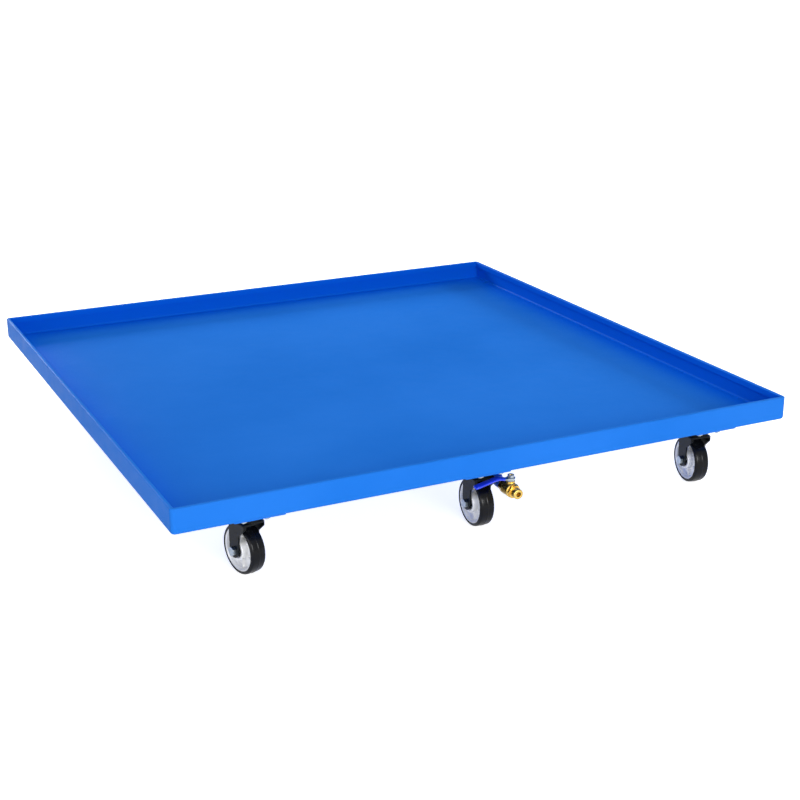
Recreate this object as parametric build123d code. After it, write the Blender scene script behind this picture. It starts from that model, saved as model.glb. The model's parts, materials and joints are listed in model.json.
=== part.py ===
from build123d import *
import math
import os

# Drum dolly: a square, shallow steel tray on six castors, with a drain ball valve under its front
# edge. Millimetres. The origin is on the ground under the tray's centre, +Z is up, and -Y is the
# front, where the drain is.

# Tray
TRAY_SIDE = 1350.0          # outside the walls
WALL_HEIGHT = 50.0          # from the underside of the floor to the top of the rim
SHEET = 3.0
TRAY_BOTTOM = 143.0         # height of the floor's underside above the ground
FLOOR_BEND = 6.0            # inside radius between the floor and the walls
CORNER_RADIUS = 9.0         # outside radius of the four upright corners
HEM_WIDTH = 8.5             # across the folded rim, the wall included
HEM_DEPTH = 14.0
HEM_ROUND = 2.6

# Castor pads and stiffeners, welded under the floor
PAD_THICK = 5.0
PAD_WIDTH = 100.0
PAD_LENGTH = 132.0
PAD_INSET = 11.0            # from the outside of the front wall to the pad's front edge
STIFFENER_WIDTH = 50.0
STIFFENER_DEPTH = 25.0
STIFFENER_SHEET = 3.0
CROSS_Y = 262.0

# Castors. Each is drawn with its swivel axis on Z and its wheel shifted towards -Y by the trail.
WHEEL_RADIUS = 50.0
WHEEL_WIDTH = 32.0
TYRE_INNER = 42.5
TRAIL = 17.5
CORNER_X = 506.0            # swivel axes of the corner castors
PIVOT_INSET = 76.0          # swivel axes, from the outside of the front or back wall
MIDDLE_X = -18.0            # the middle castors stand left of centre, clear of the drain
MIDDLE_PAD_X = -37.0
PARKED = {                  # how far each swivel castor is turned about Z as it stands
    "front_left": 194.0,
    "front_right": 173.0,
    "back_left": 7.0,
    "back_right": -9.0,
}

PLATE_THICK = 4.0
PLATE_X = 60.0
PLATE_Y = 95.0
PLATE_CORNER = 8.0
HOLE_X = 45.0               # castor plate hole pattern
HOLE_Y = 73.0
HOLE_RADIUS = 4.4
STUD_RADIUS = 4.0

FORK_SHEET = 3.5
FORK_INSIDE = 40.0
LEG_RADIUS = 14.0           # rounded lower end of a leg
WAIST_Z = 84.0              # where a leg starts to widen towards the swivel axis
WAIST_FLARE = 3.0
SHOULDER_Z = 106.0
CROWN_RADIUS = 29.0
CROWN_REACH = 24.0          # flat edge of the crown, on the side away from the wheel
CROWN_TOP = 113.5
RACE_OUTER = 23.0
RACE_INNER = 10.0
LOWER_RACE_TOP = 123.5
UPPER_RACE_BOTTOM = 126.5
BALL_PITCH = 16.5
BALL_RADIUS = 3.0
BALL_COUNT = 14
BALL_PLAY = 0.3

KINGPIN_RADIUS = 6.0
RUNNING_PLAY = 0.05
AXLE_RADIUS = 5.0
SLEEVE_RADIUS = 7.5
BEARING_OUTER = 16.0
BEARING_WIDTH = 9.0
HUB_RADIUS = 20.0
HUB_HALF = 18.0
RIM_INNER = 39.0
RIM_HALF = 14.5
RIB_COUNT = 6

# Drain and ball valve
DRAIN_X = 29.5
DRAIN_Y = -572.0
DRAIN_HOLE = 9.0
VALVE_Z = 86.5              # height of the valve's bore
STEM_Y = -634.0
OUTLET_Y = -666.0           # free end of the outlet
THREAD_RADIUS = 10.5        # G 1/2 thread, drawn plain
PORT_RADIUS = 5.0
BALL_VALVE_RADIUS = 8.5
LEVER_REACH = 83.0

half_side = TRAY_SIDE / 2
rim_top = TRAY_BOTTOM + WALL_HEIGHT
pad_bottom = TRAY_BOTTOM - PAD_THICK
plate_bottom = pad_bottom - PLATE_THICK
crown_bottom = CROWN_TOP - FORK_SHEET
fork_half = FORK_INSIDE / 2 + FORK_SHEET
pivot_y = half_side - PIVOT_INSET
pad_y = half_side - PAD_INSET - PAD_LENGTH / 2
axle = Pos(0, -TRAIL, WHEEL_RADIUS)

nodes = {}


def tube(radius, hole, z_low, z_high):
    """A round bush on the Z axis."""
    middle = Pos(0, 0, (z_low + z_high) / 2)
    return middle * (Cylinder(radius, z_high - z_low) - Cylinder(hole, z_high - z_low))


def rod(radius, z_low, z_high):
    return Pos(0, 0, (z_low + z_high) / 2) * Cylinder(radius, z_high - z_low)


def hexagon(across_flats, z_low, z_high):
    """A hexagonal bar on the Z axis with its corners turned down a little."""
    corner_radius = across_flats / math.sqrt(3)
    bar = extrude(Pos(0, 0, z_low) * RegularPolygon(corner_radius, 6), z_high - z_low)
    turned = chamfer(rod(corner_radius, z_low, z_high).edges().filter_by(GeomType.CIRCLE), 0.8)
    return bar & turned


def block(x_low, x_high, y_low, y_high, z_low, z_high):
    centre = Pos((x_low + x_high) / 2, (y_low + y_high) / 2, (z_low + z_high) / 2)
    return centre * Box(x_high - x_low, y_high - y_low, z_high - z_low)


def rounded_block(width, length, height, corner, z_low):
    outline = RectangleRounded(width, length, corner)
    return extrude(Pos(0, 0, z_low) * outline, height)


# --- Tray ---------------------------------------------------------------------------------------

def tray_pan():
    """One folded sheet: floor, four walls and a rim folded inwards over itself, corners welded."""
    outside = rounded_block(TRAY_SIDE, TRAY_SIDE, WALL_HEIGHT, CORNER_RADIUS, TRAY_BOTTOM)
    outside = fillet(outside.faces().sort_by(Axis.Z)[0].edges(), FLOOR_BEND)
    inner_side = TRAY_SIDE - 2 * SHEET
    inside = rounded_block(
        inner_side, inner_side, WALL_HEIGHT, CORNER_RADIUS - SHEET, TRAY_BOTTOM + SHEET
    )
    inside = fillet(inside.faces().sort_by(Axis.Z)[0].edges(), FLOOR_BEND - 0.5)
    hem_side = TRAY_SIDE - 2 * HEM_WIDTH
    gap_side = TRAY_SIDE - 2 * (HEM_WIDTH - SHEET)
    hem_low = rim_top - HEM_DEPTH
    hem = rounded_block(inner_side, inner_side, HEM_DEPTH, CORNER_RADIUS - SHEET, hem_low)
    hem -= rounded_block(hem_side, hem_side, HEM_DEPTH, 2.0, hem_low)
    gap = rounded_block(inner_side, inner_side, HEM_DEPTH - SHEET, CORNER_RADIUS - SHEET, hem_low)
    gap -= rounded_block(gap_side, gap_side, HEM_DEPTH - SHEET, 3.0, hem_low)
    pan = (outside - inside) + (hem - gap)
    top = pan.faces().filter_by(Axis.Z).sort_by(Axis.Z)[-1]
    pan = fillet(top.edges(), HEM_ROUND)
    return pan - Pos(DRAIN_X, DRAIN_Y, TRAY_BOTTOM) * Cylinder(DRAIN_HOLE, 4 * SHEET)


castor_places = [
    (x, side * pivot_y, side) for side in (-1, 1) for x in (-CORNER_X, MIDDLE_X, CORNER_X)
]


def mounting_pads():
    """Six flat plates welded to the floor, one over each castor."""
    pads = []
    for x, _, side in castor_places:
        pad_x = MIDDLE_PAD_X if x == MIDDLE_X else x
        pad = rounded_block(PAD_WIDTH, PAD_LENGTH, PAD_THICK, 3.0, pad_bottom)
        pads.append(Pos(pad_x, side * pad_y, 0) * pad)
    return pads


def channel(length):
    """A folded channel along Y, open upwards and closed by the floor that it is welded to."""
    outer = block(
        -STIFFENER_WIDTH / 2, STIFFENER_WIDTH / 2, -length / 2, length / 2,
        TRAY_BOTTOM - STIFFENER_DEPTH, TRAY_BOTTOM,
    )
    bends = outer.edges().filter_by(Axis.Y).sort_by(Axis.Z)[:2]
    outer = fillet(bends, 4.0)
    inside = STIFFENER_WIDTH / 2 - STIFFENER_SHEET
    inner = block(
        -inside, inside, -length / 2, length / 2,
        TRAY_BOTTOM - STIFFENER_DEPTH + STIFFENER_SHEET, TRAY_BOTTOM,
    )
    return outer - inner


def floor_stiffeners():
    """Three channels from the front pads to the back ones, and four short ones across."""
    columns = (-CORNER_X, MIDDLE_PAD_X, CORNER_X)
    run = 2 * (pad_y - PAD_LENGTH / 2)
    pieces = [Pos(x, 0, 0) * channel(run) for x in columns]
    for left, right in zip(columns, columns[1:]):
        length = right - left - STIFFENER_WIDTH
        for y in (-CROSS_Y, CROSS_Y):
            pieces.append(Location(((left + right) / 2, y, 0), (0, 0, 90)) * channel(length))
    return pieces


# --- Castor fasteners ----------------------------------------------------------------------------

def at_plate_holes(piece):
    """One copy of a fastener at each of the 24 castor plate holes."""
    copies = []
    for x, y, _ in castor_places:
        for dx in (-HOLE_X / 2, HOLE_X / 2):
            for dy in (-HOLE_Y / 2, HOLE_Y / 2):
                copies.append(Pos(x + dx, y + dy, 0) * piece)
    return copies


WASHER_THICK = 1.6
NUT_THICK = 6.5
STUD_SHOWING = 2.5
washer_bottom = plate_bottom - WASHER_THICK
nut_bottom = washer_bottom - NUT_THICK


def castor_stud():
    end = nut_bottom - STUD_SHOWING
    stud = rod(STUD_RADIUS, end, pad_bottom)
    return chamfer(stud.edges().sort_by(Axis.Z)[0], 0.8)


def castor_nut():
    return hexagon(13.0, nut_bottom, washer_bottom) - rod(STUD_RADIUS, nut_bottom, washer_bottom)


# --- Castors -------------------------------------------------------------------------------------

def plate_blank():
    plate = rounded_block(PLATE_X, PLATE_Y, PLATE_THICK, PLATE_CORNER, plate_bottom)
    hole = rod(HOLE_RADIUS, plate_bottom - 1, pad_bottom + 1)
    for dx in (-HOLE_X / 2, HOLE_X / 2):
        for dy in (-HOLE_Y / 2, HOLE_Y / 2):
            plate -= Pos(dx, dy, 0) * hole
    return plate


def ball_groove():
    centre_z = (LOWER_RACE_TOP + UPPER_RACE_BOTTOM) / 2
    return Pos(0, 0, centre_z) * Torus(BALL_PITCH, BALL_RADIUS + BALL_PLAY)


def swivel_plate():
    """Top plate with the pressed upper ball race and the hole that holds the kingpin."""
    race = tube(RACE_OUTER, RACE_INNER, UPPER_RACE_BOTTOM, plate_bottom)
    rounded = race.edges().group_by(Axis.Z)[0].sort_by(SortBy.RADIUS)[-1]
    race = fillet(rounded, 1.5)
    plate = plate_blank() + race - ball_groove()
    return plate - rod(KINGPIN_RADIUS, plate_bottom - 1, pad_bottom + 1)


def fixed_plate():
    """Top plate of a castor that doesn't swivel, with a solid collar in place of the ball race."""
    collar = tube(RACE_OUTER, RACE_INNER, CROWN_TOP, plate_bottom)
    return plate_blank() + collar - rod(KINGPIN_RADIUS, plate_bottom - 1, pad_bottom + 1)


def kingpin():
    """Riveted pin: flush in the top plate, with a formed head under the fork's crown."""
    head_bottom = crown_bottom - 5.0
    head_top = crown_bottom - BALL_PLAY
    shank = rod(KINGPIN_RADIUS, head_bottom, pad_bottom)
    head = rod(10.5, head_bottom, head_top)
    head = chamfer(head.edges().filter_by(GeomType.CIRCLE).sort_by(Axis.Z)[0], 1.5)
    return shank + head


def swivel_balls():
    centre_z = (LOWER_RACE_TOP + UPPER_RACE_BOTTOM) / 2
    ring = []
    for i in range(BALL_COUNT):
        angle = 2 * math.pi * i / BALL_COUNT
        place = Pos(BALL_PITCH * math.cos(angle), BALL_PITCH * math.sin(angle), centre_z)
        ring.append(place * Sphere(BALL_RADIUS))
    return ring


def fork_blank():
    """Pressed fork: a U of sheet steel cut to the legs' outline and to the round crown."""
    low = WHEEL_RADIUS - LEG_RADIUS - 1
    outer = Pos(0, (low + CROWN_TOP) / 2) * Rectangle(2 * fork_half, CROWN_TOP - low)
    outer = fillet(outer.vertices().group_by(Axis.Y)[-1], 6.0)
    inner = Pos(0, (low + crown_bottom) / 2) * Rectangle(FORK_INSIDE, crown_bottom - low)
    inner = fillet(inner.vertices().group_by(Axis.Y)[-1], 6.0 - FORK_SHEET)
    section = Plane.XZ * (outer - inner)
    bent = extrude(section, 2 * fork_half, both=True)

    front = -TRAIL - LEG_RADIUS
    back = -TRAIL + LEG_RADIUS
    over = CROWN_TOP + 1
    end = ThreePointArc(
        (front, WHEEL_RADIUS), (-TRAIL, WHEEL_RADIUS - LEG_RADIUS), (back, WHEEL_RADIUS)
    )
    sides = Polyline(
        (back, WHEEL_RADIUS), (back + WAIST_FLARE, WAIST_Z), (CROWN_REACH, SHOULDER_Z),
        (CROWN_REACH, over), (front, over), (front, WHEEL_RADIUS),
    )
    side_view = extrude(Plane.YZ * make_face(Wire([*end.edges(), *sides.edges()])), 40, both=True)
    crown_view = Circle(CROWN_RADIUS) + Pos(0, front / 2) * Rectangle(2 * fork_half, -front)
    top_view = extrude(crown_view, over)
    return bent & side_view & top_view


def axle_hole(radius):
    return axle * (Rot(0, 90, 0) * Cylinder(radius, 4 * fork_half))


def swivel_fork():
    """Fork with the lower ball race and the hole that turns on the kingpin."""
    race = tube(RACE_OUTER, RACE_INNER, CROWN_TOP, LOWER_RACE_TOP) - ball_groove()
    hole = rod(KINGPIN_RADIUS + RUNNING_PLAY, crown_bottom - 1, CROWN_TOP + 1)
    return fork_blank() + race - hole - axle_hole(AXLE_RADIUS)


def fixed_fork():
    hole = rod(KINGPIN_RADIUS, crown_bottom - 1, CROWN_TOP + 1)
    return fork_blank() - hole - axle_hole(AXLE_RADIUS)


def on_axle(piece):
    """Turn a piece drawn about Z onto the axle, its +Z end towards -X, the nut's side."""
    return axle * (Rot(0, -90, 0) * piece)


AXLE_NUT = 7.0
AXLE_HEAD = 6.5
AXLE_FLATS = 16.0
THREAD_SHOWING = 1.5


def axle_bolt():
    shank = rod(AXLE_RADIUS, -fork_half, fork_half + AXLE_NUT + THREAD_SHOWING)
    shank = chamfer(shank.edges().sort_by(Axis.Z)[-1], 1.0)
    head = hexagon(AXLE_FLATS, -fork_half - AXLE_HEAD, -fork_half)
    return on_axle(shank + head)


def axle_nut():
    top = fork_half + AXLE_NUT
    nut = hexagon(AXLE_FLATS, fork_half, top) - rod(AXLE_RADIUS, fork_half, top)
    return on_axle(nut)


def axle_sleeve():
    return on_axle(tube(SLEEVE_RADIUS, AXLE_RADIUS, -FORK_INSIDE / 2, FORK_INSIDE / 2))


def wheel_core():
    """Cast aluminium centre: hub, dished web with ribs on both sides, and rim."""
    hub = tube(HUB_RADIUS, BEARING_OUTER - 2.5, -HUB_HALF, HUB_HALF)
    hub = chamfer(hub.edges().filter_by(GeomType.CIRCLE).sort_by(SortBy.RADIUS)[-2:], 1.0)
    rim = tube(TYRE_INNER, RIM_INNER, -RIM_HALF, RIM_HALF)
    bead = rim.edges().filter_by(GeomType.CIRCLE).sort_by(SortBy.RADIUS)[:2]
    rim = chamfer(bead, 1.6)
    web_profile = Polyline(
        (HUB_RADIUS - 1, -6.0), (HUB_RADIUS + 5, -3.0), (RIM_INNER - 4, -3.0),
        (RIM_INNER + 1, -7.0), (RIM_INNER + 1, 7.0), (RIM_INNER - 4, 3.0),
        (HUB_RADIUS + 5, 3.0), (HUB_RADIUS - 1, 6.0), close=True,
    )
    web = revolve(Plane.XZ * make_face(web_profile), Axis.Z)
    core = hub + rim + web
    for i in range(RIB_COUNT):
        rib = Rot(0, 0, 360 * i / RIB_COUNT) * block(
            HUB_RADIUS - 1, RIM_INNER + 1, -1.6, 1.6, -6.5, 6.5
        )
        core += rib
    for z in (-HUB_HALF, HUB_HALF):
        inward = z - math.copysign(BEARING_WIDTH, z)
        core -= rod(BEARING_OUTER, min(z, inward), max(z, inward))
    return on_axle(core)


def wheel_bearings():
    """Two ball bearings pressed into the hub, each drawn as its closed outer shape."""
    ring = tube(BEARING_OUTER, SLEEVE_RADIUS + RUNNING_PLAY, 0, BEARING_WIDTH)
    ring = chamfer(ring.edges().filter_by(GeomType.CIRCLE).sort_by(SortBy.RADIUS)[-2:], 0.5)
    return [
        on_axle(Pos(0, 0, HUB_HALF - BEARING_WIDTH) * ring),
        on_axle(Pos(0, 0, -HUB_HALF) * ring),
    ]


def tyre():
    """Solid rubber tyre with a slightly crowned tread and rounded shoulders."""
    half = WHEEL_WIDTH / 2
    crown = 0.5
    shoulder = 5.0
    tread = ThreePointArc(
        (WHEEL_RADIUS - crown, -half), (WHEEL_RADIUS, 0), (WHEEL_RADIUS - crown, half)
    )
    sides = Polyline(
        (WHEEL_RADIUS - crown, half), (TYRE_INNER + 1.5, half), (TYRE_INNER, half - 1.5),
        (TYRE_INNER, 1.5 - half), (TYRE_INNER + 1.5, -half), (WHEEL_RADIUS - crown, -half),
    )
    profile = make_face(Wire([*tread.edges(), *sides.edges()]))
    edges_out = profile.vertices().group_by(Axis.X)[-1]
    profile = fillet(edges_out, shoulder)
    return on_axle(revolve(Plane.XZ * profile, Axis.Z))


def castor_name_places():
    places = {}
    for name, turned in PARKED.items():
        side = -1 if name.startswith("front") else 1
        x = -CORNER_X if name.endswith("left") else CORNER_X
        places[name] = Location((x, side * pivot_y, 0), (0, 0, turned))
    return places


swivel_places = castor_name_places()
fixed_places = {
    "front_middle": Location((MIDDLE_X, -pivot_y, 0), (0, 0, 180)),
    "back_middle": Location((MIDDLE_X, pivot_y, 0)),
}


# --- Drain and valve -----------------------------------------------------------------------------
# Drawn about a vertical Z axis through the drain hole, or about the valve's own bore.

SOCKET_LOW = 120.0
ELBOW_RADIUS = 12.0
ELBOW_BEND = 18.0
REAR_Y = -609.0             # rear end of the valve body
BODY_FRONT_Y = -645.0
COLLAR_Y = -651.0


def on_bore(piece):
    """Turn a piece drawn about Z onto the valve's bore, its +Z end towards the front (-Y)."""
    return Pos(DRAIN_X, 0, VALVE_Z) * (Rot(90, 0, 0) * piece)


def drain_socket():
    return Pos(DRAIN_X, DRAIN_Y, 0) * tube(14.0, THREAD_RADIUS, SOCKET_LOW, TRAY_BOTTOM)


def drain_elbow():
    """Street elbow from the socket down and round to the front, screwed into the valve."""
    top = SOCKET_LOW + 12
    rear = REAR_Y - 11
    path = FilletPolyline(
        (DRAIN_X, DRAIN_Y, SOCKET_LOW), (DRAIN_X, DRAIN_Y, VALVE_Z), (DRAIN_X, REAR_Y, VALVE_Z),
        radius=ELBOW_BEND,
    )
    start = Plane(path @ 0, z_dir=path % 0)
    body = sweep(start * Circle(ELBOW_RADIUS), path)
    bore = sweep(start * Circle(7.0), path)
    elbow = body + Pos(DRAIN_X, DRAIN_Y, 0) * rod(THREAD_RADIUS, SOCKET_LOW, top)
    elbow += on_bore(rod(THREAD_RADIUS, -REAR_Y, -rear))
    elbow -= bore + Pos(DRAIN_X, DRAIN_Y, 0) * rod(7.0, SOCKET_LOW - 1, top)
    return elbow - on_bore(rod(7.0, -REAR_Y - 1, -rear))


STEM_RADIUS = 4.0
BOSS_TOP = VALVE_Z + 18.0
GLAND_TOP = BOSS_TOP + 4.5
HUB_PLATE = 2.5
LEVER_NUT = 6.0
stem_top = GLAND_TOP + HUB_PLATE + 4.0
ball_centre = Pos(DRAIN_X, STEM_Y, VALVE_Z)


def valve_body():
    """Brass body: hexagon and socket at the back, ball chamber, and the stem's boss on top."""
    barrel = on_bore(rod(15.0, -REAR_Y + 12, -BODY_FRONT_Y))
    barrel = chamfer(barrel.edges().filter_by(GeomType.CIRCLE).sort_by(Axis.Y)[0], 1.5)
    nut = on_bore(hexagon(27.0, -REAR_Y, -REAR_Y + 14))
    boss = Pos(DRAIN_X, STEM_Y, 0) * rod(8.5, VALVE_Z, BOSS_TOP)
    body = barrel + nut + boss
    body -= on_bore(rod(THREAD_RADIUS, -REAR_Y - 1, -REAR_Y + 11))
    body -= on_bore(rod(PORT_RADIUS, -REAR_Y, -STEM_Y))
    body -= on_bore(rod(11.0, -STEM_Y - 9.5, -BODY_FRONT_Y + 1))
    body -= Pos(DRAIN_X, STEM_Y, 0) * rod(6.0, VALVE_Z + BALL_VALVE_RADIUS - 3, BOSS_TOP + 1)
    return body


def valve_end():
    """Brass outlet that screws into the body: hexagon collar and a plain round nose."""
    tail = on_bore(rod(11.0, -STEM_Y + 9.5, -BODY_FRONT_Y))
    collar = on_bore(hexagon(25.0, -BODY_FRONT_Y, -COLLAR_Y))
    nose = rod(THREAD_RADIUS, -COLLAR_Y, -OUTLET_Y)
    nose = fillet(nose.edges().filter_by(GeomType.CIRCLE).sort_by(Axis.Z)[-1], 2.5)
    whole = tail + collar + on_bore(nose)
    return whole - on_bore(rod(PORT_RADIUS, -STEM_Y, -OUTLET_Y + 1))


def ball_seats():
    """Two sealing rings, one on each side of the ball, each with a seat cut to the ball."""
    sphere = ball_centre * Sphere(BALL_VALVE_RADIUS + RUNNING_PLAY)
    ring = tube(10.9, PORT_RADIUS, 5.5, 9.5)
    back = ball_centre * (Rot(-90, 0, 0) * ring) - sphere
    front = ball_centre * (Rot(90, 0, 0) * ring) - sphere
    return [back, front]


def gland_nut():
    nut = hexagon(14.0, BOSS_TOP, GLAND_TOP - 0.3) + rod(6.0, BOSS_TOP - 5.5, BOSS_TOP)
    nut -= rod(STEM_RADIUS + RUNNING_PLAY, BOSS_TOP - 6, GLAND_TOP)
    return Pos(DRAIN_X, STEM_Y, 0) * nut


def valve_ball():
    """Bored ball, shut: its port lies across the valve, and a slot in its top takes the stem."""
    ball = Sphere(BALL_VALVE_RADIUS) - Rot(0, 90, 0) * Cylinder(PORT_RADIUS, 30)
    ball -= block(-10, 10, -1.6, 1.6, BALL_VALVE_RADIUS - 2.5, BALL_VALVE_RADIUS + 1)
    return ball_centre * ball


def valve_stem():
    foot = VALVE_Z + BALL_VALVE_RADIUS
    tang = block(-4, 4, -1.6, 1.6, foot - 2.3, foot + 1)
    stem = tang + rod(5.3, foot + 0.5, BOSS_TOP - 6) + rod(STEM_RADIUS, BOSS_TOP - 6, stem_top)
    return Pos(DRAIN_X, STEM_Y, 0) * stem


def lever_path(start_x):
    """Side line of the cranked handle: level at the stem, a short rise, then a long fall."""
    level = GLAND_TOP + HUB_PLATE / 2
    points = [(-start_x, level), (-30, level + 4.5), (-LEVER_REACH + 3, level - 6.5)]
    if start_x < 13:
        points.insert(1, (-13, level))
    return Polyline(*points)


def strip(width, thick, start_x):
    """A flat strip of even thickness along the handle's side line."""
    line = lever_path(start_x)
    band = extrude(Plane.XZ * trace(line, thick), width / 2, both=True)
    return band


def valve_lever():
    hub = rod(9.0, GLAND_TOP, GLAND_TOP + HUB_PLATE)
    bar = strip(12.0, HUB_PLATE, 0)
    lever = hub + bar - rod(STEM_RADIUS, GLAND_TOP - 5, GLAND_TOP + 9)
    return Pos(DRAIN_X, STEM_Y, 0) * lever


def lever_sleeve():
    """Dipped vinyl grip round the handle's outer part."""
    grip = strip(16.0, 6.0, 17)
    grip = fillet(grip.edges().filter_by(Axis.Y), 1.2)
    grip -= strip(12.0, HUB_PLATE, 0)
    return Pos(DRAIN_X, STEM_Y, 0) * grip


def lever_nut():
    low = GLAND_TOP + HUB_PLATE
    nut = hexagon(13.0, low, low + LEVER_NUT) - rod(STEM_RADIUS, low, low + LEVER_NUT)
    return Pos(DRAIN_X, STEM_Y, 0) * nut


# --- Assembly ------------------------------------------------------------------------------------

nodes["tray_pan"] = [tray_pan()]
nodes["mounting_pads"] = mounting_pads()
nodes["floor_stiffeners"] = floor_stiffeners()
nodes["castor_studs"] = at_plate_holes(castor_stud())
nodes["castor_washers"] = at_plate_holes(tube(8.0, HOLE_RADIUS, washer_bottom, plate_bottom))
nodes["castor_nuts"] = at_plate_holes(castor_nut())

straight = [Pos(x, y, 0) for x, y, _ in castor_places]
plates = {"swivel": swivel_plate(), "fixed": fixed_plate()}
corners = [Pos(place.position) for place in swivel_places.values()]
nodes["swivel_plates"] = [place * plates["swivel"] for place in corners]
nodes["fixed_plates"] = [place * plates["fixed"] for place in fixed_places.values()]
nodes["kingpins"] = [place * kingpin() for place in straight]
nodes["swivel_balls"] = [place * ball for place in corners for ball in swivel_balls()]

nodes["fixed_forks"] = [place * fixed_fork() for place in fixed_places.values()]
nodes["fixed_axle_bolts"] = [place * axle_bolt() for place in fixed_places.values()]
nodes["fixed_axle_nuts"] = [place * axle_nut() for place in fixed_places.values()]
nodes["fixed_axle_sleeves"] = [place * axle_sleeve() for place in fixed_places.values()]

for name, place in swivel_places.items():
    nodes["fork_" + name] = [place * swivel_fork()]
    nodes["axle_bolt_" + name] = [place * axle_bolt()]
    nodes["axle_nut_" + name] = [place * axle_nut()]
    nodes["axle_sleeve_" + name] = [place * axle_sleeve()]

for name, place in {**swivel_places, **fixed_places}.items():
    nodes["wheel_core_" + name] = [place * wheel_core()]
    nodes["bearings_" + name] = [place * bearing for bearing in wheel_bearings()]
    nodes["tyre_" + name] = [place * tyre()]

nodes["drain_socket"] = [drain_socket()]
nodes["drain_elbow"] = [drain_elbow()]
nodes["valve_body"] = [valve_body()]
nodes["valve_end"] = [valve_end()]
nodes["ball_seats"] = ball_seats()
nodes["gland_nut"] = [gland_nut()]
nodes["valve_ball"] = [valve_ball()]
nodes["valve_stem"] = [valve_stem()]
nodes["valve_lever"] = [valve_lever()]
nodes["lever_sleeve"] = [lever_sleeve()]
nodes["lever_nut"] = [lever_nut()]

os.makedirs("parts", exist_ok=True)
for name, solids in nodes.items():
    shape = solids[0] if len(solids) == 1 else Compound(children=solids)
    export_step(shape, f"parts/{name}.step")
print(len(nodes), "nodes")
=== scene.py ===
import json
import math

import bpy
from mathutils import Matrix, Vector


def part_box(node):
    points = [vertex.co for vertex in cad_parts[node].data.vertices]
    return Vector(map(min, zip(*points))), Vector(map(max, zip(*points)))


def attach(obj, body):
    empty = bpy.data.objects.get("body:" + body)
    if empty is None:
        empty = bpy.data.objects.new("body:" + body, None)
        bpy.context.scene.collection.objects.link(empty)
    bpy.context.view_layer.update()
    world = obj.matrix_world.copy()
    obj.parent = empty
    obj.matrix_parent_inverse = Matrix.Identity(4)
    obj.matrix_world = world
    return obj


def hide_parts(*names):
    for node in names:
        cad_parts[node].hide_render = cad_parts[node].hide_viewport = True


# A drum dolly: a square blue steel tray on six castors, with a brass drain valve under its front
# edge. Metres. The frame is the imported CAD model: the origin is on the ground under the tray's
# centre, +Z is up and -Y is the front.

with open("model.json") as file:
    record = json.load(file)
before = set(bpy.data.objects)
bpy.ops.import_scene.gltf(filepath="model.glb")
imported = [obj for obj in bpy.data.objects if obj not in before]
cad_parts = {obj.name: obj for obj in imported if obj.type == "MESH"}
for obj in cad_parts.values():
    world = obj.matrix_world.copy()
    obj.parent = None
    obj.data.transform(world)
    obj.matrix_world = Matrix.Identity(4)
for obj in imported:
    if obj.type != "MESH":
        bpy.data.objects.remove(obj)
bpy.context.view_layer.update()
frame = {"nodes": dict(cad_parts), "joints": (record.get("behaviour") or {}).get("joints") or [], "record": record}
nodes = frame["nodes"]

tray_low, tray_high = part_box("tray_pan")
SIDE = tray_high.x - tray_low.x
RIM_TOP = tray_high.z


def add_object(name, data):
    made = bpy.data.objects.new(name, data)
    bpy.context.scene.collection.objects.link(made)
    return made


# --- Camera --------------------------------------------------------------------------------------

# In tray sides, from the middle of the rim.
CAMERA_PLACE = Vector((-0.9884, -2.1712, 0.7433))
CAMERA_TURN = math.radians(-26.022)
CAMERA_PITCH = math.radians(19.125)
CAMERA_ROLL = math.radians(-0.134)
CAMERA_LENS = 65.62          # in millimetres, as the sensor's width is
CAMERA_SENSOR = 36.0
CAMERA_NEAR = 0.05
CAMERA_FAR = 200.0


def make_camera():
    data = bpy.data.cameras.new("camera")
    data.lens = CAMERA_LENS
    data.sensor_width = CAMERA_SENSOR
    data.clip_start = CAMERA_NEAR
    data.clip_end = CAMERA_FAR
    camera = add_object("camera", data)
    camera.location = CAMERA_PLACE * SIDE + Vector((0, 0, RIM_TOP))
    turn = Matrix.Rotation(CAMERA_TURN, 4, "Z")
    tilt = Matrix.Rotation(math.pi / 2 - CAMERA_PITCH, 4, "X")
    roll = Matrix.Rotation(CAMERA_ROLL, 4, "Z")
    camera.rotation_mode = "QUATERNION"
    camera.rotation_quaternion = (turn @ tilt @ roll).to_quaternion()
    bpy.context.scene.camera = camera


# --- Node helpers --------------------------------------------------------------------------------

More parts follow.
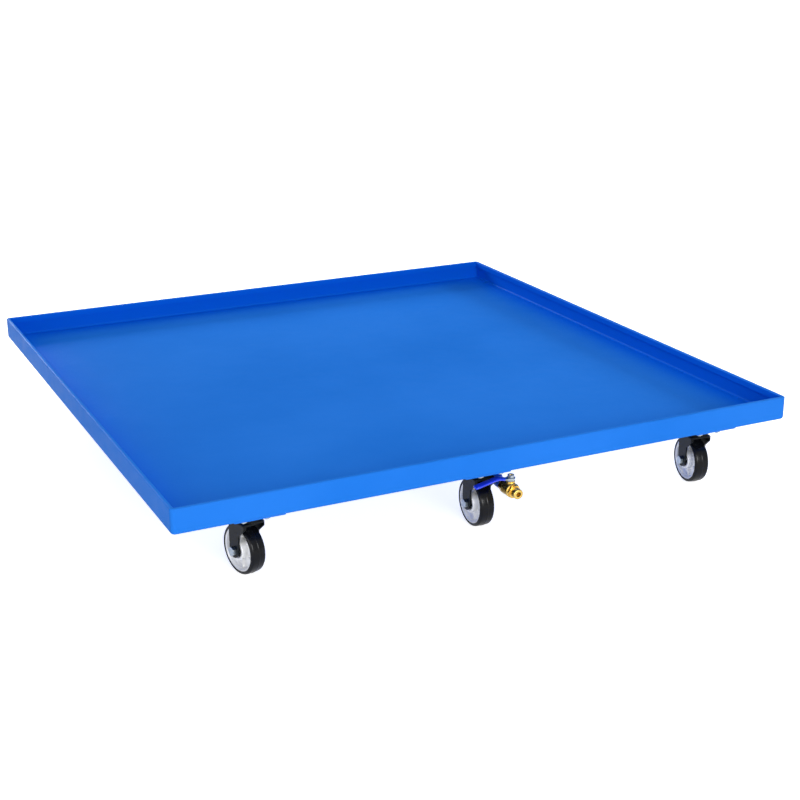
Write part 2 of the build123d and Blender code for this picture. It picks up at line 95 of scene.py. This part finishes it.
class Paint:
    """A node material and short calls that add one node each."""

    def __init__(self, name):
        self.material = bpy.data.materials.new(name)
        self.material.use_nodes = True
        self.tree = self.material.node_tree
        self.shader = self.tree.nodes["Principled BSDF"]
        place = self.tree.nodes.new("ShaderNodeTexCoord")
        self.place = place.outputs["Object"]

    def add(self, kind, inputs=None, **settings):
        node = self.tree.nodes.new(kind)
        for key, value in settings.items():
            setattr(node, key, value)
        for key, value in (inputs or {}).items():
            self.feed(node.inputs[key], value)
        return node

    def feed(self, socket, value):
        """Link a socket to another node's output, or set its value."""
        if isinstance(value, bpy.types.NodeSocket):
            self.tree.links.new(value, socket)
        else:
            socket.default_value = value

    def set(self, **values):
        """Give the shader's inputs, named in small letters with underscores, their values."""
        sockets = {socket.name.lower(): socket for socket in self.shader.inputs}
        for key, value in values.items():
            self.feed(sockets[key.replace("_", " ")], value)

    def stretched(self, x, y, z):
        scale = {"Vector": self.place, "Scale": (x, y, z)}
        return self.add("ShaderNodeMapping", scale).outputs["Vector"]

    def noise(self, scale, detail=3.0, roughness=0.5, vector=None):
        made = self.add(
            "ShaderNodeTexNoise",
            {
                "Vector": vector or self.place,
                "Scale": scale,
                "Detail": detail,
                "Roughness": roughness,
            },
        )
        return made.outputs["Fac"]

    def levels(self, value, low, high, to_low=0.0, to_high=1.0):
        made = self.add(
            "ShaderNodeMapRange",
            {
                "Value": value,
                "From Min": low,
                "From Max": high,
                "To Min": to_low,
                "To Max": to_high,
            },
        )
        return made.outputs["Result"]

    def maths(self, operation, a, b=0.0):
        made = self.add("ShaderNodeMath", operation=operation)
        self.feed(made.inputs[0], a)
        self.feed(made.inputs[1], b)
        return made.outputs[0]

    def blend(self, amount, first, second):
        made = self.add("ShaderNodeMix", data_type="RGBA")
        self.feed(made.inputs[0], amount)
        self.feed(made.inputs[6], first)
        self.feed(made.inputs[7], second)
        return made.outputs[2]

    def edge(self, radius):
        """1 on sharp edges and 0 on flat faces."""
        soft = self.add("ShaderNodeBevel", {"Radius": radius}, samples=6).outputs["Normal"]
        flat = self.add("ShaderNodeNewGeometry").outputs["Normal"]
        dot = self.add("ShaderNodeVectorMath", operation="DOT_PRODUCT")
        self.feed(dot.inputs[0], soft)
        self.feed(dot.inputs[1], flat)
        turned = self.maths("SUBTRACT", 1.0, dot.outputs["Value"])
        return self.levels(turned, 0.02, 0.25)

    def openness(self, reach):
        """1 on open faces, less where the piece's own faces stand around a point."""
        inputs = {"Distance": reach}
        made = self.add("ShaderNodeAmbientOcclusion", inputs, samples=8, only_local=True)
        return made.outputs["AO"]

    def bump(self, height, distance, strength, round_edges=0.0):
        inputs = {"Height": height, "Distance": distance, "Strength": strength}
        if round_edges:
            bevel = self.add("ShaderNodeBevel", {"Radius": round_edges}, samples=6)
            inputs["Normal"] = bevel.outputs["Normal"]
        return self.add("ShaderNodeBump", inputs).outputs["Normal"]


def rgb(red, green, blue):
    """A colour given as 0-255 screen values."""
    def linear(value):
        value /= 255
        return value / 12.92 if value <= 0.04045 else ((value + 0.055) / 1.055) ** 2.4
    return (linear(red), linear(green), linear(blue), 1.0)


# --- Materials -----------------------------------------------------------------------------------

def powder_coat():
    """Satin blue powder coat: fine orange peel, faint cloudiness, a painted highlight on its edges and painted
    shade in its corners and along its walls.
    """
    paint = Paint("blue_powder_coat")
    cloud = paint.noise(2.2, 4.0, 0.55)
    speck = paint.noise(900.0, 2.0)
    base = paint.blend(paint.levels(cloud, 0.35, 0.65), rgb(31, 113, 213), rgb(39, 120, 221))
    base = paint.blend(paint.levels(speck, 0.62, 0.80, 0.0, 0.25), base, rgb(52, 132, 236))
    # Painted highlight: the edges are drawn in a lighter blue.
    edge = paint.edge(0.0015)
    base = paint.blend(paint.maths("MULTIPLY", edge, 0.35), base, rgb(70, 150, 245))
    # Painted shade: the blue turns deeper where the tray's own faces close round a point, in its corners and along
    # its walls.
    corner_shade = paint.levels(paint.openness(0.32), 0.70, 0.99, 1.0, 0.0)
    base = paint.blend(corner_shade, base, rgb(4, 92, 210))
    peel = paint.noise(420.0, 2.0, 0.5)
    wavy = paint.noise(9.0, 2.0, 0.5)
    height = paint.maths("ADD", paint.maths("MULTIPLY", wavy, 6.0), peel)
    paint.set(
        base_color=base,
        roughness=paint.levels(paint.noise(30.0, 4.0), 0.3, 0.7, 0.32, 0.42),
        specular_ior_level=0.012,
        normal=paint.bump(height, 0.00012, 0.6, round_edges=0.0008),
    )
    return paint.material


def drain_paint():
    """Blue enamel brushed over the pipe fittings, less even than the powder coat."""
    paint = Paint("blue_fitting_paint")
    runs = paint.noise(60.0, 5.0, 0.6)
    base = paint.blend(paint.levels(runs, 0.35, 0.7), rgb(6, 70, 190), rgb(20, 100, 222))
    # Painted highlight: the fittings' edges are drawn in a lighter blue.
    edge = paint.edge(0.0012)
    base = paint.blend(paint.maths("MULTIPLY", edge, 0.3), base, rgb(60, 140, 240))
    paint.set(
        base_color=base,
        roughness=paint.levels(runs, 0.3, 0.7, 0.28, 0.45),
        normal=paint.bump(runs, 0.0005, 0.5, round_edges=0.0008),
    )
    return paint.material


def black_bracket():
    """Black dip-coated pressed steel with a cool sheen and rubbed edges."""
    paint = Paint("black_bracket_coat")
    cloud = paint.noise(45.0, 5.0, 0.6)
    base = paint.blend(paint.levels(cloud, 0.3, 0.75), rgb(3, 6, 8), rgb(10, 16, 20))
    worn = paint.maths("MULTIPLY", paint.edge(0.0007), paint.levels(cloud, 0.4, 0.7))
    base = paint.blend(worn, base, rgb(110, 116, 120))
    paint.set(
        base_color=base,
        metallic=paint.levels(worn, 0.0, 1.0, 0.0, 0.7),
        roughness=paint.levels(paint.noise(160.0, 3.0), 0.3, 0.7, 0.26, 0.40),
        specular_ior_level=0.18,
        normal=paint.bump(paint.noise(380.0, 3.0), 0.00010, 0.6, round_edges=0.0007),
    )
    return paint.material


def zinc():
    """Bright zinc plate: bluish, lightly mottled, with fine scratches."""
    paint = Paint("zinc_plate")
    mottled = paint.noise(140.0, 5.0, 0.65)
    scratch = paint.noise(60.0, 2.0, 0.5, paint.stretched(1.0, 1.0, 40.0))
    base = paint.blend(paint.levels(mottled, 0.3, 0.7), rgb(150, 164, 172), rgb(205, 214, 218))
    base = paint.blend(paint.levels(scratch, 0.6, 0.75, 0.0, 0.3), base, rgb(120, 128, 140))
    paint.set(
        base_color=base,
        metallic=1.0,
        roughness=paint.levels(mottled, 0.3, 0.7, 0.24, 0.42),
        normal=paint.bump(scratch, 0.00006, 0.5, round_edges=0.0004),
    )
    return paint.material


def cast_aluminium():
    """Cast wheel centre: pale grey, faintly grainy, with a painted highlight on its edges."""
    paint = Paint("cast_aluminium")
    grain = paint.noise(700.0, 4.0, 0.6)
    cloud = paint.noise(40.0, 4.0, 0.6)
    base = paint.blend(paint.levels(cloud, 0.3, 0.7), rgb(232, 232, 231), rgb(248, 248, 247))
    base = paint.blend(paint.levels(grain, 0.55, 0.75, 0.0, 0.3), base, rgb(196, 196, 195))
    # Painted highlight: the edges are drawn near white.
    edge = paint.edge(0.001)
    base = paint.blend(paint.maths("MULTIPLY", edge, 0.6), base, rgb(254, 254, 253))
    rough = paint.levels(grain, 0.3, 0.7, 0.30, 0.46)
    paint.set(
        base_color=base,
        metallic=0.3,
        roughness=rough,
        normal=paint.bump(grain, 0.00015, 0.7, round_edges=0.0006),
    )
    return paint.material


def steel():
    """Ground bearing steel."""
    paint = Paint("bearing_steel")
    turned = paint.noise(300.0, 2.0)
    base = paint.blend(paint.levels(turned, 0.3, 0.7), rgb(120, 122, 126), rgb(168, 170, 174))
    paint.set(
        base_color=base,
        metallic=1.0,
        roughness=paint.levels(turned, 0.3, 0.7, 0.20, 0.34),
        normal=paint.bump(turned, 0.00004, 0.5, round_edges=0.0004),
    )
    return paint.material


def rubber():
    """Black satin tyre rubber, faintly cloudy, with dust in its pores."""
    paint = Paint("tyre_rubber")
    pores = paint.noise(800.0, 4.0, 0.6)
    cloud = paint.noise(28.0, 4.0, 0.6)
    base = paint.blend(paint.levels(cloud, 0.3, 0.7), rgb(3, 4, 7), rgb(12, 14, 20))
    base = paint.blend(paint.levels(pores, 0.58, 0.8, 0.0, 0.25), base, rgb(38, 40, 46))
    paint.set(
        base_color=base,
        roughness=paint.levels(cloud, 0.3, 0.7, 0.20, 0.30),
        specular_ior_level=0.22,
        normal=paint.bump(pores, 0.00010, 0.5, round_edges=0.0006),
    )
    return paint.material


def brass():
    """Machined brass: warm, with a painted highlight on its edges, a little tarnished in patches."""
    paint = Paint("machined_brass")
    tarnish = paint.noise(120.0, 5.0, 0.65)
    turned = paint.noise(90.0, 2.0, 0.5, paint.stretched(1.0, 30.0, 1.0))
    base = paint.blend(paint.levels(tarnish, 0.3, 0.75), rgb(250, 216, 122), rgb(226, 182, 84))
    # Painted highlight: the edges are drawn in a pale, whitish brass.
    edge = paint.edge(0.0008)
    base = paint.blend(paint.maths("MULTIPLY", edge, 0.5), base, rgb(255, 236, 176))
    paint.set(
        base_color=base,
        metallic=1.0,
        roughness=paint.levels(turned, 0.3, 0.7, 0.18, 0.34),
        normal=paint.bump(turned, 0.00006, 0.6, round_edges=0.0005),
    )
    return paint.material


def chrome():
    """Polished plated ball."""
    paint = Paint("ball_chrome")
    faint = paint.noise(200.0, 3.0)
    paint.set(
        base_color=paint.blend(faint, rgb(214, 216, 220), rgb(236, 238, 240)),
        metallic=1.0,
        roughness=paint.levels(faint, 0.3, 0.7, 0.05, 0.12),
    )
    return paint.material


def seat_plastic():
    """White PTFE valve seats."""
    paint = Paint("seat_plastic")
    faint = paint.noise(150.0, 3.0)
    paint.set(
        base_color=paint.blend(faint, rgb(228, 227, 220), rgb(240, 240, 236)),
        roughness=paint.levels(faint, 0.3, 0.7, 0.42, 0.55),
        normal=paint.bump(faint, 0.00005, 0.5),
    )
    return paint.material


def vinyl():
    """Glossy royal-blue dipped vinyl with slight runs."""
    paint = Paint("dipped_vinyl")
    runs = paint.noise(50.0, 3.0, 0.5)
    base = paint.blend(paint.levels(runs, 0.3, 0.7), rgb(18, 48, 214), rgb(34, 70, 232))
    paint.set(
        base_color=base,
        roughness=paint.levels(runs, 0.3, 0.7, 0.16, 0.28),
        coat_weight=0.4,
        normal=paint.bump(runs, 0.0005, 0.5, round_edges=0.001),
    )
    return paint.material


# --- Dressing the CAD nodes ----------------------------------------------------------------------

slots = {row["node"]: row["material_slot"] for row in frame["record"]["subparts"]}
finishes = {
    "tray_blue": powder_coat(),
    "drain_blue": drain_paint(),
    "bracket_black": black_bracket(),
    "zinc": zinc(),
    "bearing_steel": steel(),
    "wheel_aluminium": cast_aluminium(),
    "tyre_rubber": rubber(),
    "valve_brass": brass(),
    "ball_chrome": chrome(),
    "seat_plastic": seat_plastic(),
    "sleeve_blue": vinyl(),
}


def dress_nodes():
    for name, node in nodes.items():
        node.data.materials.clear()
        node.data.materials.append(finishes[slots[name]])


# --- Pieces made here ----------------------------------------------------------------------------

RIGHT = Vector((1, 0, 0))
BACK = Vector((0, 1, 0))
UP = Vector((0, 0, 1))
SHARP = math.radians(50)     # edges that turn more than this stay sharp
CORNERS = ("front_left", "front_right", "back_left", "back_right")
MIDDLES = ("front_middle", "back_middle")
joints = {joint["name"]: joint for joint in frame["joints"]}


def make_piece(name, points, faces, slot, body):
    mesh = bpy.data.meshes.new(name)
    mesh.from_pydata(points, [], faces)
    mesh.materials.append(finishes[slot])
    mesh.shade_smooth()
    mesh.set_sharp_from_angle(angle=SHARP)
    piece = add_object(name, mesh)
    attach(piece, body)
    return piece


def join_rings(first, rings, size, closed):
    """Faces of a skin over equal rings of points. An open skin gets a flat cap at each end."""
    faces = []
    for i in range(rings if closed else rings - 1):
        low = first + i * size
        high = first + (i + 1) % rings * size
        for k in range(size):
            after = (k + 1) % size
            faces.append((low + k, low + after, high + after, high + k))
    if not closed:
        last = first + (rings - 1) * size
        faces.append(tuple(range(first + size - 1, first - 1, -1)))
        faces.append(tuple(range(last, last + size)))
    return faces


# Tyres: a turned skin with a sidewall lip, a groove beside the rim and a parting line.

wheel_low, wheel_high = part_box("tyre_front_middle")
core_low, core_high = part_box("wheel_core_front_middle")
TYRE_OUTER = (wheel_high.z - wheel_low.z) / 2
TYRE_INNER = (core_high.z - core_low.z) / 2
TYRE_HALF = (wheel_high.x - wheel_low.x) / 2
SHOULDER = 0.0052            # radius of the rounding between tread and sidewall
TREAD_CROWN = 0.0006         # how much lower the tread is at its shoulders
PARTING_RISE = 0.00025
PARTING_TOP = 0.0003         # half of the parting line's width at its top and at its foot
PARTING_FOOT = 0.0006
LIP_RISE = 0.0004            # the sidewall lip
LIP_WIDTH = 0.0007
LIP_SLOPE = 0.0001
SIDE_DISH = 0.0002           # how far the sidewall draws in at the rim
RIM_GROOVE = 0.0006
TREAD_STEPS = 6
SHOULDER_STEPS = 9
TYRE_STEPS = 144


def tyre_outline():
    """Half of the tyre's section from the tread's middle to its bore: radius, distance out."""
    flat = TYRE_HALF - SHOULDER
    side = TYRE_HALF - LIP_RISE
    tread = TYRE_OUTER - PARTING_RISE
    points = [(TYRE_OUTER, 0.0), (TYRE_OUTER, PARTING_TOP), (tread, PARTING_FOOT)]
    for i in range(1, TREAD_STEPS + 1):
        share = i / TREAD_STEPS
        points.append((tread - TREAD_CROWN * share ** 2, flat * share))
    edge = tread - TREAD_CROWN - SHOULDER
    for i in range(1, SHOULDER_STEPS + 1):
        turn = math.pi / 2 * i / SHOULDER_STEPS
        out = flat + (side - flat) * math.sin(turn)
        points.append((edge + SHOULDER * math.cos(turn), out))
    points.append((edge - LIP_SLOPE, TYRE_HALF))
    points.append((edge - LIP_SLOPE - LIP_WIDTH, TYRE_HALF))
    points.append((edge - 2 * LIP_SLOPE - LIP_WIDTH, side))
    points.append((TYRE_INNER + RIM_GROOVE, side - SIDE_DISH))
    points.append((TYRE_INNER, side - SIDE_DISH - RIM_GROOVE))
    points.append((TYRE_INNER, 0.0))
    return points


def tyre_section():
    half = tyre_outline()
    mirrored = [(radius, -out) for radius, out in reversed(half[1:-1])]
    return half + mirrored


def make_tyre(name):
    joint = joints[name + "_roll"]
    centre = Vector(joint["pos_m"])
    axis = Vector(joint["axis"]).normalized()
    ahead = axis.cross(UP).normalized()
    section = tyre_section()
    points = []
    for i in range(TYRE_STEPS):
        turn = 2 * math.pi * i / TYRE_STEPS
        spoke = math.cos(turn) * ahead + math.sin(turn) * UP
        points += [centre + spoke * radius + axis * out for radius, out in section]
    faces = join_rings(0, TYRE_STEPS, len(section), True)
    tyre = make_piece("tyre_surface_" + name, points, faces, "tyre_rubber", "wheel_" + name)
    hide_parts("tyre_" + name)


# Weld beads: fillets of overlapping scales in the corners between the tray and what it carries.

BEAD_LEG = 0.0034
BEAD_STEP = 0.0007
BEAD_SCALE = 0.0028          # length of one scale
BEAD_WAIST = 0.84            # of the leg, between two scales
BEAD_START = 0.35            # of the leg, at an open end
BEAD_END = 4                 # stations over which an end tapers
BEAD_ARC = 6                 # points across the bead's face
BEAD_ROOT = 0.0004           # how far the bead reaches into the corner, out of sight
STITCH = 0.036               # length of one straight bead


def add_bead(points, faces, stations, closed=False):
    """One bead. A station is a point of the corner under the tray and the way out from it."""
    first = len(points)
    for i, (corner, out) in enumerate(stations):
        wave = abs(math.sin(math.pi * i * BEAD_STEP / BEAD_SCALE))
        leg = BEAD_LEG * (BEAD_WAIST + (1 - BEAD_WAIST) * wave)
        if not closed:
            near = min(i, len(stations) - 1 - i)
            leg *= BEAD_START + (1 - BEAD_START) * min(1.0, near / BEAD_END)
        points.append(corner + (UP - out) * BEAD_ROOT)
        for k in range(BEAD_ARC):
            turn = math.pi / 2 * k / (BEAD_ARC - 1)
            points.append(corner + leg * (math.cos(turn) * out - math.sin(turn) * UP))
    faces += join_rings(first, len(stations), BEAD_ARC + 1, closed)


def straight_bead(points, faces, middle, along, out):
    """A stitch of weld of one length, centred on a point of the corner."""
    count = int(STITCH / BEAD_STEP)
    run = [middle + along * BEAD_STEP * (i - count / 2) for i in range(count + 1)]
    add_bead(points, faces, [(corner, out) for corner in run])


PAD_SIZE = Vector((0.100, 0.132))
PAD_STITCHES = (-0.3, 0.3)   # places along a pad's edge, in lengths of that edge
MIDDLE_PAD_X = -0.037        # the middle pads and channel stand left of centre


def make_pad_welds():
    low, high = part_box("mounting_pads")
    columns = (low.x + PAD_SIZE.x / 2, MIDDLE_PAD_X, high.x - PAD_SIZE.x / 2)
    points = []
    faces = []
    for x in columns:
        for y in (low.y + PAD_SIZE.y / 2, high.y - PAD_SIZE.y / 2):
            centre = Vector((x, y, high.z))
            inward = Vector((0, -math.copysign(1.0, y), 0))
            for share in PAD_STITCHES:
                for across in (-RIGHT, RIGHT):
                    side = centre + across * PAD_SIZE.x / 2 + BACK * share * PAD_SIZE.y
                    straight_bead(points, faces, side, BACK, across)
                end = centre + inward * PAD_SIZE.y / 2 + RIGHT * share * PAD_SIZE.x
                straight_bead(points, faces, end, RIGHT, inward)
    make_piece("pad_welds", points, faces, "tray_blue", "tray")


CHANNEL_HALF = 0.025         # half of a floor channel's width
CROSS_Y = 0.262              # the cross channels' distance from the middle
STITCH_PITCH = 0.16


def spread(low, high):
    """Evenly spaced stitch centres between two ends."""
    count = max(2, round((high - low) / STITCH_PITCH))
    return [low + (high - low) * (i + 0.5) / count for i in range(count)]


def make_channel_welds():
    low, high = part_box("floor_stiffeners")
    columns = (low.x + CHANNEL_HALF, MIDDLE_PAD_X, high.x - CHANNEL_HALF)
    points = []
    faces = []
    for x in columns:
        for out in (-RIGHT, RIGHT):
            for y in spread(low.y, high.y):
                if abs(abs(y) - CROSS_Y) > CHANNEL_HALF + STITCH:
                    place = Vector((x, y, high.z)) + out * CHANNEL_HALF
                    straight_bead(points, faces, place, BACK, out)
    for left, right in zip(columns, columns[1:]):
        for y in (-CROSS_Y, CROSS_Y):
            for out in (-BACK, BACK):
                for x in spread(left + CHANNEL_HALF, right - CHANNEL_HALF):
                    place = Vector((x, y, high.z)) + out * CHANNEL_HALF
                    straight_bead(points, faces, place, RIGHT, out)
    make_piece("channel_welds", points, faces, "tray_blue", "tray")


def make_socket_weld():
    """A full ring of weld between the drain socket and the tray's floor."""
    low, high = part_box("drain_socket")
    radius = (high.x - low.x) / 2
    centre = Vector(((low.x + high.x) / 2, (low.y + high.y) / 2, high.z))
    scales = round(2 * math.pi * radius / BEAD_SCALE)
    count = round(scales * BEAD_SCALE / BEAD_STEP)
    points = []
    faces = []
    stations = []
    for i in range(count):
        turn = 2 * math.pi * i / count
        out = Vector((math.cos(turn), math.sin(turn), 0))
        stations.append((centre + out * radius, out))
    add_bead(points, faces, stations, closed=True)
    make_piece("socket_weld", points, faces, "drain_blue", "tray")


# Threads on the studs that hold the castor plates.

HOLE_X = 0.0225              # from a castor's axis to its studs
HOLE_Y = 0.0365
STUD_RADIUS = 0.004
STUD_CHAMFER = 0.0008
THREAD_PITCH = 0.00125
THREAD_RISE = 0.0003
THREAD_ROOT = 0.4            # half of a ridge's height at its root, in pitches
THREAD_STEPS = 20            # points round one turn
THREAD_RUNOUT = 4            # points over which a thread's end fades


def add_thread(points, faces, top, length):
    """A helical ridge that goes down a stud from a point on its axis."""
    first = len(points)
    count = int(length / THREAD_PITCH * THREAD_STEPS)
    half = UP * THREAD_PITCH * THREAD_ROOT
    for i in range(count + 1):
        turn = 2 * math.pi * i / THREAD_STEPS
        out = Vector((math.cos(turn), math.sin(turn), 0))
        centre = top - UP * THREAD_PITCH * i / THREAD_STEPS
        rise = THREAD_RISE * min(1.0, i / THREAD_RUNOUT, (count - i) / THREAD_RUNOUT)
        root = centre + out * (STUD_RADIUS - THREAD_RISE)
        points.append(root + half)
        points.append(centre + out * (STUD_RADIUS + rise))
        points.append(root - half)
    faces += join_rings(first, count + 1, 3, False)


def make_stud_threads():
    stud_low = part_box("castor_studs")[0]
    nut_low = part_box("castor_nuts")[0]
    length = nut_low.z - stud_low.z - STUD_CHAMFER
    places = [joints[name + "_swivel"]["pos_m"][:2] for name in CORNERS]
    middle_x = joints["front_middle_roll"]["pos_m"][0]
    reach = abs(places[0][1])
    places += [(middle_x, -reach), (middle_x, reach)]
    points = []
    faces = []
    for x, y in places:
        for dx in (-HOLE_X, HOLE_X):
            for dy in (-HOLE_Y, HOLE_Y):
                add_thread(points, faces, Vector((x + dx, y + dy, nut_low.z)), length)
    make_piece("stud_threads", points, faces, "zinc", "tray")


# The handle's grip: a dipped vinyl sleeve, closed and rounded at its tip, with a rolled lip.

LEVEL_REACH = 0.013          # from the stem to the end of the handle's level part
LIP_REACH = 0.0165           # from the stem to the sleeve's lip
CRANK_REACH = 0.030
TIP_REACH = 0.080            # from the stem to the end of the metal
CRANK_RISE = 0.0045          # above the level part
TIP_FALL = 0.0065            # below the level part
BAR_HALF = 0.00125           # half of the metal's thickness
CRANK_SOFT = 0.009           # how far from the crank the bend begins
GRIP_HALF_WIDTH = 0.0081
GRIP_HALF_THICK = 0.0031
GRIP_SQUARE = 2.6            # 2 is an ellipse, more is squarer
GRIP_TIP = 0.003             # length of the rounding at the tip
GRIP_POINT = 0.06            # of the grip's section, at the very tip
GRIP_PAST = 0.0016           # vinyl past the end of the metal
GRIP_AROUND = 32
BEND_STEPS = 8
RUN_STEPS = 10
TIP_STEPS = 8
# The rolled lip: distances from its end, and the section there in shares of the grip's.
LIP_ROLL = ((0.0, 0.8), (0.0003, 1.0), (0.0008, 1.05), (0.0014, 1.05), (0.0022, 1.0))


def grip_line():
    """The grip's middle line from its lip to its tip: point, direction, share of the section."""
    stem = Vector(joints["valve_turn"]["pos_m"])
    level = stem.z + BAR_HALF
    rise = CRANK_RISE / (CRANK_REACH - LEVEL_REACH)
    lip = Vector((stem.x - LIP_REACH, stem.y, level + rise * (LIP_REACH - LEVEL_REACH)))
    crank = Vector((stem.x - CRANK_REACH, stem.y, level + CRANK_RISE))
    tip = Vector((stem.x - TIP_REACH, stem.y, level - TIP_FALL))
    up_run = (crank - lip).normalized()
    down_run = (tip - crank).normalized()
    before = crank - up_run * CRANK_SOFT
    after = crank + down_run * CRANK_SOFT
    line = [(lip + up_run * along, up_run, share) for along, share in LIP_ROLL]
    for i in range(BEND_STEPS + 1):
        t = i / BEND_STEPS
        point = (1 - t) ** 2 * before + 2 * t * (1 - t) * crank + t ** 2 * after
        line.append((point, up_run.lerp(down_run, t).normalized(), 1.0))
    end = tip + down_run * (GRIP_PAST - GRIP_TIP)
    for i in range(1, RUN_STEPS):
        line.append((after.lerp(end, i / RUN_STEPS), down_run, 1.0))
    for i in range(TIP_STEPS + 1):
        turn = math.pi / 2 * i / TIP_STEPS
        share = max(GRIP_POINT, math.cos(turn))
        line.append((end + down_run * GRIP_TIP * math.sin(turn), down_run, share))
    return line


def squared(value):
    """A sine or cosine turned into that of a rounded square."""
    return math.copysign(abs(value) ** (2 / GRIP_SQUARE), value)


def make_grip():
    line = grip_line()
    points = []
    for middle, along, share in line:
        normal = along.cross(BACK)
        for k in range(GRIP_AROUND):
            turn = 2 * math.pi * k / GRIP_AROUND
            wide = BACK * GRIP_HALF_WIDTH * squared(math.cos(turn))
            thick = normal * GRIP_HALF_THICK * squared(math.sin(turn))
            points.append(middle + share * (wide + thick))
    faces = join_rings(0, len(line), GRIP_AROUND, False)
    grip = make_piece("lever_grip", points, faces, "sleeve_blue", "handle")
    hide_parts("lever_sleeve")


def make_pieces():
    for name in CORNERS + MIDDLES:
        make_tyre(name)
    make_pad_welds()
    make_channel_welds()
    make_socket_weld()
    make_stud_threads()
    make_grip()


# --- Stage ---------------------------------------------------------------------------------------

FLOOR_REACH = 30.0
FLOOR_NEAR = 1.5             # distances from the middle between which the glow grows
FLOOR_FAR = 4.0
FLOOR_BOUNCE = 0.25          # the glow that lights the part
FLOOR_GLOW_NEAR = 0.55       # added to it for the camera
FLOOR_GLOW_FAR = 0.85
FLOOR_SHEEN = 0.2            # added to it in reflections


def make_floor():
    paint = Paint("pale_floor")
    rays = paint.add("ShaderNodeLightPath").outputs
    away = paint.add("ShaderNodeVectorMath", {"Vector": paint.place}, operation="LENGTH")
    distance = away.outputs["Value"]
    glow = paint.levels(distance, FLOOR_NEAR, FLOOR_FAR, FLOOR_GLOW_NEAR, FLOOR_GLOW_FAR)
    seen = paint.maths("MULTIPLY", rays["Is Camera Ray"], glow)
    mirrored = paint.maths("MULTIPLY", rays["Is Glossy Ray"], FLOOR_SHEEN)
    strength = paint.maths("ADD", paint.maths("ADD", seen, mirrored), FLOOR_BOUNCE)
    faint = paint.noise(1.2, 3.0)
    paint.set(
        base_color=paint.blend(faint, (0.80, 0.80, 0.80, 1), (0.82, 0.82, 0.82, 1)),
        roughness=0.9,
        specular_ior_level=0.0,
        emission_color=(1.0, 1.0, 1.0, 1.0),
        emission_strength=strength,
    )
    mesh = bpy.data.meshes.new("floor")
    signs = ((-1, -1), (1, -1), (1, 1), (-1, 1))
    corners = [(x * FLOOR_REACH, y * FLOOR_REACH, 0) for x, y in signs]
    mesh.from_pydata(corners, [], [(0, 1, 2, 3)])
    mesh.materials.append(paint.material)
    floor = add_object("floor", mesh)


WORLD_STRENGTH = 0.12
WORLD_SHEEN = 0.55           # added in reflections, towards the front of the studio
SHEEN_START = 0.1            # the directions' Y between which it grows
SHEEN_FULL = -0.5
LIGHTS = {                   # place, aim, width, height and power
    "front": ((-0.4, -5.0, 1.5), (-0.2, -0.6, 0.15), 3.0, 1.6, 164.0),
    "top": ((0.2, 0.4, 4.0), (0, 0, 0.15), 3.4, 3.4, 62.0),
    "back": ((-1.1, 5.0, 1.7), (0, 0, 0.15), 2.0, 1.0, 185.0),
    "left": ((-4.0, -2.0, 1.0), (-0.6, 0.0, 0.10), 2.2, 1.6, 42.0),
    "right": ((5.0, 1.2, 1.5), (0, 0, 0.15), 2.4, 1.0, 185.0),
}


def soft_light(name, place, aim, width, height, power):
    data = bpy.data.lights.new(name, "AREA")
    data.shape = "RECTANGLE"
    data.size = width
    data.size_y = height
    data.energy = power
    light = add_object(name, data)
    light.location = place
    toward = Vector(aim) - Vector(place)
    light.rotation_mode = "QUATERNION"
    light.rotation_quaternion = toward.to_track_quat("-Z", "Y")


def make_lights():
    world = bpy.data.worlds.new("studio")
    world.use_nodes = True
    tree = world.node_tree
    sky = tree.nodes["Background"]
    sky.inputs["Color"].default_value = (1.0, 1.0, 1.0, 1.0)
    # The camera sees white, and reflections see a studio that is brighter towards -Y.
    toward = tree.nodes.new("ShaderNodeSeparateXYZ")
    tree.links.new(tree.nodes.new("ShaderNodeTexCoord").outputs["Generated"], toward.inputs[0])
    front = tree.nodes.new("ShaderNodeMapRange")
    tree.links.new(toward.outputs["Y"], front.inputs["Value"])
    front.inputs["From Min"].default_value = SHEEN_START
    front.inputs["From Max"].default_value = SHEEN_FULL
    front.inputs["To Max"].default_value = WORLD_SHEEN
    rays = tree.nodes.new("ShaderNodeLightPath").outputs
    glossy = tree.nodes.new("ShaderNodeMath")
    glossy.operation = "MULTIPLY_ADD"
    tree.links.new(front.outputs["Result"], glossy.inputs[0])
    tree.links.new(rays["Is Glossy Ray"], glossy.inputs[1])
    glossy.inputs[2].default_value = WORLD_STRENGTH
    backdrop = tree.nodes.new("ShaderNodeMath")
    backdrop.operation = "MAXIMUM"
    tree.links.new(glossy.outputs["Value"], backdrop.inputs[0])
    tree.links.new(rays["Is Camera Ray"], backdrop.inputs[1])
    tree.links.new(backdrop.outputs["Value"], sky.inputs["Strength"])
    bpy.context.scene.world = world
    for name, (place, aim, width, height, power) in LIGHTS.items():
        soft_light(name, place, aim, width, height, power)


make_camera()
dress_nodes()
make_pieces()
make_floor()
make_lights()

bpy.context.scene.view_settings.view_transform = "Standard"
